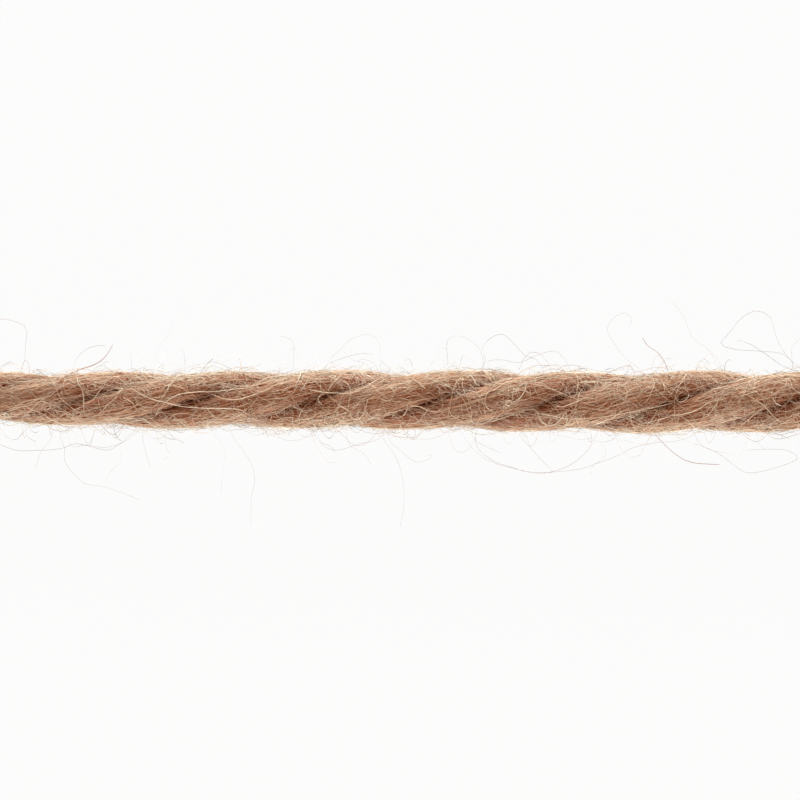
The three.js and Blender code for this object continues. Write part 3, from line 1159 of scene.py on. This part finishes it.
@dataclass
class Nep:
    """A speck where short fibres have knotted, with some of them reaching out of it."""

    form: YarnForm
    place: tuple[float, float]
    size: float = 0.2
    count: int = 46
    steps: int = 12
    reach: float = 1.0
    reaching_share: float = 0.3
    lift: float = 0.1
    tone: float = 0.95
    seed: int = 41

    def batch(self) -> FibreBatch:
        """Curl most fibres round the knot and send the rest outwards.

        Returns:
            The fibres.
        """
        rng = np.random.default_rng(self.seed)
        one = (self.count, 1)
        t = np.linspace(0, 1, self.steps)
        curl = rng.uniform(0, TURN, one) + rng.uniform(0.6, 1.6, one) * TURN * t
        away = self.size * rng.uniform(0.3, 1, one)
        reaching = rng.random(one) < self.reaching_share
        way = rng.uniform(0, TURN, one) + 0.7 * waves(rng, self.count, self.steps, 0.2, 0.7)
        far = rng.uniform(0.4, 1, one) * self.reach * t
        x = self.place[0] + np.where(reaching, far * np.cos(way), away * np.cos(curl))
        side = self.place[1] + np.where(reaching, 0.6 * far * np.sin(way), away * np.sin(curl))
        points = self.form.over(x, side, self.lift)
        points[..., 2] += np.where(reaching, 0, 0.5 * self.size * rng.uniform(-0.5, 1, one))
        girth = rng.uniform(0.7, 1.1, one) * taper(self.steps, 0.4)
        tone = rng.normal(self.tone, 0.1, self.count)
        return FibreBatch(points, self.form.outward(x, 0 * x), girth, tone)


@dataclass
class EndTufts:
    """The cut ends, where the fibres of each ply stand out past the cut in a loose brush."""

    form: YarnForm
    count: int = 850
    steps: int = 7
    inside: float = 1.6
    past: tuple[float, float] = (0.05, 0.9)
    flare: float = 0.22
    tone: float = 0.6
    seed: int = 43

    def batch(self) -> FibreBatch:
        """Set fibres over the whole section of both ends, flaring a little as they leave it.

        Returns:
            The fibres.
        """
        rng = np.random.default_rng(self.seed)
        one = (self.count, 1)
        end = np.where(rng.random(one) < 0.5, -1.0, 1.0)
        t = np.linspace(0, 1, self.steps)
        half = self.form.length / 2
        run = -self.inside + (self.inside + rng.uniform(*self.past, one) ** 1.5) * t
        x = end * (half + run)
        inside = np.clip(x, -half, half)
        depth = np.sqrt(rng.uniform(0.01, 0.95, one)) * (1 + self.flare * t ** 3 * rng.uniform(-0.3, 1, one))
        angle = rng.uniform(-math.pi, math.pi, one) + 0.12 * waves(rng, self.count, self.steps, 0.2, 0.8)
        points = np.empty((self.count, self.steps, 3))
        outward = np.empty_like(points)
        whose = rng.integers(0, len(self.form.plies), self.count)
        for number, ply in enumerate(self.form.plies):
            own = whose == number
            points[own] = self.form.on_ply(ply, inside[own], angle[own], depth[own])
            outward[own] = self.form.outward(x[own], self.form.heading(ply, inside[own]) + angle[own])
        points[..., 0] = x
        girth = rng.uniform(0.8, 1.3, one) * taper(self.steps, 0.5)
        tone = rng.normal(self.tone, 0.14, self.count)
        return FibreBatch(points, outward, girth, tone)


@dataclass
class YarnHeart:
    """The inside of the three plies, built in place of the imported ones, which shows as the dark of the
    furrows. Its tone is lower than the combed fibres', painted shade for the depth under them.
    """

    form: YarnForm
    shrink: float = 0.925
    steps: int = 260
    sides: int = 24
    untwist: float = 0.86
    # Lower than the combed fibres' tone: painted shade for the depth.
    tone: float = 0.34

    def build(self, material: bpy.types.Material) -> bpy.types.Object:
        """Make the three plies as one piece.

        Args:
            material: Their finish.

        Returns:
            The piece.
        """
        half = self.form.length / 2
        x, angle = np.meshgrid(np.linspace(-half, half, self.steps),
                               np.arange(self.sides) / self.sides * TURN - math.pi, indexing="ij")
        across = (angle + self.untwist * TURN / self.form.pitch * x) * self.form.back_radius
        spots: list[list[float]] = []
        faces: list[list[int]] = []
        lay: list[list[float]] = []
        for number, ply in enumerate(self.form.plies):
            first = len(spots)
            lay += np.stack([x, across, np.full_like(x, number)], -1).reshape(-1, 3).tolist()
            skin = self.form.on_ply(ply, x, angle, np.full_like(x, self.shrink))
            skin[..., 2] = np.maximum(skin[..., 2], 0)
            spots += (skin.reshape(-1, 3) * MM).tolist()
            for step in range(self.steps - 1):
                for side in range(self.sides):
                    a = first + step * self.sides + side
                    b = first + step * self.sides + (side + 1) % self.sides
                    faces.append([a, a + self.sides, b + self.sides, b])
            faces.append([first + side for side in range(self.sides)])
            last = first + (self.steps - 1) * self.sides
            faces.append([last + side for side in reversed(range(self.sides))])
        mesh = bpy.data.meshes.new("yarn_plies")
        mesh.from_pydata(spots, [], faces)
        mesh.polygons.foreach_set("use_smooth", np.ones(len(faces), bool))
        tone = mesh.attributes.new("tone", "FLOAT", "POINT")
        tone.data.foreach_set("value", np.full(len(spots), self.tone, np.float32))
        layer = mesh.attributes.new("lay", "FLOAT_VECTOR", "POINT")
        layer.data.foreach_set("vector", np.array(lay, np.float32).ravel())
        mesh.materials.append(material)
        piece = bpy.data.objects.new("yarn_plies", mesh)
        bpy.context.collection.objects.link(piece)
        return piece


@dataclass(frozen=True)
class Studio:
    """White light panel, side lights and the camera straight above.

    The surround runs from a bright horizon to a dim, warm zenith. The pairs of lamp values are for the yarn's
    near side and its far side.
    """

    view_width: float = 57.2
    lens: float = 100.0
    sensor: float = 36.0
    look_at: tuple[float, float, float] = (0.0, 0.11, 1.9)
    nearest_view: float = 10.0
    floor_size: float = 4000.0
    floor_gap: float = 0.02
    floor_base: float = 0.02
    floor_glow: float = 0.956
    sky_blend: tuple[float, float] = (0.05, 0.45)
    zenith: tuple[float, float, float, float] = (0.545, 0.275, 0.155, 1)
    horizon: tuple[float, float, float, float] = (1.75, 1.9, 1.95, 1)
    lamp_watts: tuple[float, float] = (2.45, 2.85)
    lamp_colour: tuple[float, float, float] = (0.855, 1.01, 1.06)
    lamp_size: tuple[float, float] = (500.0, 100.0)
    lamp_away: float = 350.0
    lamp_heights: tuple[float, float] = (42.0, 56.0)

    def camera(self) -> bpy.types.Object:
        """Place the camera square over the yarn, as far off as its view's width asks.

        Returns:
            The camera.
        """
        data = bpy.data.cameras.new("camera")
        data.lens = self.lens
        data.sensor_width = self.sensor
        data.clip_start = self.nearest_view * MM
        camera = bpy.data.objects.new("camera", data)
        bpy.context.collection.objects.link(camera)
        away = self.view_width * self.lens / self.sensor
        camera.location = (Vector(self.look_at) + Vector((0, 0, away))) * MM
        bpy.context.scene.camera = camera
        return camera

    def floor(self) -> bpy.types.Object:
        """Lay the pale panel under the yarn.

        Returns:
            The panel.
        """
        side = self.floor_size * MM / 2
        mesh = bpy.data.meshes.new("panel")
        mesh.from_pydata([(-side, -side, 0), (side, -side, 0), (side, side, 0), (-side, side, 0)], [],
                         [(0, 1, 2, 3)])
        material = bpy.data.materials.new("white_acrylic_lit")
        material.use_nodes = True
        shader = material.node_tree.nodes["Principled BSDF"]
        shader.inputs["Base Color"].default_value = (self.floor_base, self.floor_base, self.floor_base, 1)
        shader.inputs["Roughness"].default_value = 1.0
        shader.inputs["Specular IOR Level"].default_value = 0.0
        shader.inputs["Emission Color"].default_value = (1, 1, 1, 1)
        shader.inputs["Emission Strength"].default_value = self.floor_glow
        mesh.materials.append(material)
        panel = bpy.data.objects.new("panel", mesh)
        panel.location.z = -self.floor_gap * MM
        bpy.context.collection.objects.link(panel)
        return panel

    def lights(self) -> None:
        """Set a pale surround and two long soft lamps low at the sides."""
        world = bpy.data.worlds.new("surround")
        world.use_nodes = True
        tree = world.node_tree
        sky = tree.nodes["Background"]
        way = add_node(tree, "ShaderNodeTexCoord").outputs["Generated"]
        up = add_node(tree, "ShaderNodeSeparateXYZ", {}, {0: way}).outputs["Z"]
        share = add_node(tree, "ShaderNodeMapRange", {"interpolation_type": "SMOOTHSTEP"}, {
            "Value": up, "From Min": self.sky_blend[0], "From Max": self.sky_blend[1]}).outputs["Result"]
        # The mix node's colours have to be told by number, because its inputs share their names.
        fade = add_node(tree, "ShaderNodeMix", {"data_type": "RGBA"}, {
            "Factor": share, 6: self.horizon, 7: self.zenith}).outputs[2]
        tree.links.new(fade, sky.inputs["Color"])
        bpy.context.scene.world = world
        bpy.context.scene.view_settings.view_transform = "Standard"
        for side, watts, height in zip((-1, 1), self.lamp_watts, self.lamp_heights):
            data = bpy.data.lights.new("side_lamp", "AREA")
            data.shape = "RECTANGLE"
            data.size, data.size_y = (size * MM for size in self.lamp_size)
            data.energy = watts
            data.color = self.lamp_colour
            lamp = bpy.data.objects.new("side_lamp", data)
            lamp.location = Vector((0, side * self.lamp_away, height)) * MM
            lamp.rotation_euler = (Vector((0, 0, 0)) - lamp.location).to_track_quat("-Z", "Y").to_euler()
            bpy.context.collection.objects.link(lamp)


def settle(piece: bpy.types.Object) -> None:
    """Ride a piece on the yarn's body and report it.

    Args:
        piece: The finished piece.
    """
    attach(piece, BODY)
    log.info("%s: %d faces", piece.name, len(piece.data.polygons))


def main() -> None:
    """Build the yarn and its studio in order."""
    logging.basicConfig(level=logging.INFO, format="%(name)s %(message)s")
    form = YarnForm()
    studio = Studio()
    studio.camera()
    wool = WoolFinish().make()
    fine = LooseWoolPaintedShadeFinish().make()
    heart = YarnHeart(form).build(PackedWoolPaintedShadeFinish().make())
    flat = FibreSweep(radius=0.017, height=0.6, width=1.3, roll=0.4, smooth=False, crimp_height=0.1,
                      crimp_length=0.9)
    thick = FibreSweep()
    wavy = FibreSweep(crimp_height=0.08)
    plain = FibreSweep(crimp_height=0.03, crimp_length=1.5, lean=0.0)
    knotted = FibreSweep(lean=0.0)
    curls = CrossingFibres(form, count=1700, steps=12, length=(1.5, 5.0), bend=1.3, bends=(0.4, 1.6),
                           lift=(-0.14, 0.06), dip=0.3, girth=(0.75, 1.05), tone=0.8, seed=29)
    combed = [(f"combed_{ply.node}", flat, CombedFibres(form, ply, seed=11 + number), wool)
              for number, ply in enumerate(form.plies)]
    dressing = (
        *combed,
        ("crossing_fibres", thick, CrossingFibres(form), wool),
        ("curled_fibres", thick, curls, wool),
        ("halo_fibres", wavy, HaloFibres(form), fine),
        ("fuzz_fibres", wavy, FuzzFibres(form), fine),
        ("down_fibres", wavy, FuzzFibres(form, count=3000, height=0.34, seed=47), fine),
        ("stray_hairs", plain, StrayHairs(form, HAIRS_ACROSS + COARSE_HAIRS), wool),
        ("stray_loops", plain, StrayHairs(form, HAIRS_ABOVE + HAIRS_BELOW, fineness=0.52), fine),
        ("nep_middle", knotted, Nep(form, (7.65, -0.1)), wool),
        ("nep_left", knotted, Nep(form, (-27.9, -0.95), count=26, reach=0.5, seed=42), fine),
        ("end_tufts", thick, EndTufts(form), wool),
    )
    loose = [sweep.sweep(name, fibres.batch(), finish) for name, sweep, fibres, finish in dressing]
    for piece in (heart, *loose):
        settle(piece)
    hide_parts(*PLY_NODES)
    studio.floor()
    studio.lights()


if __name__ == "__main__":
    main()
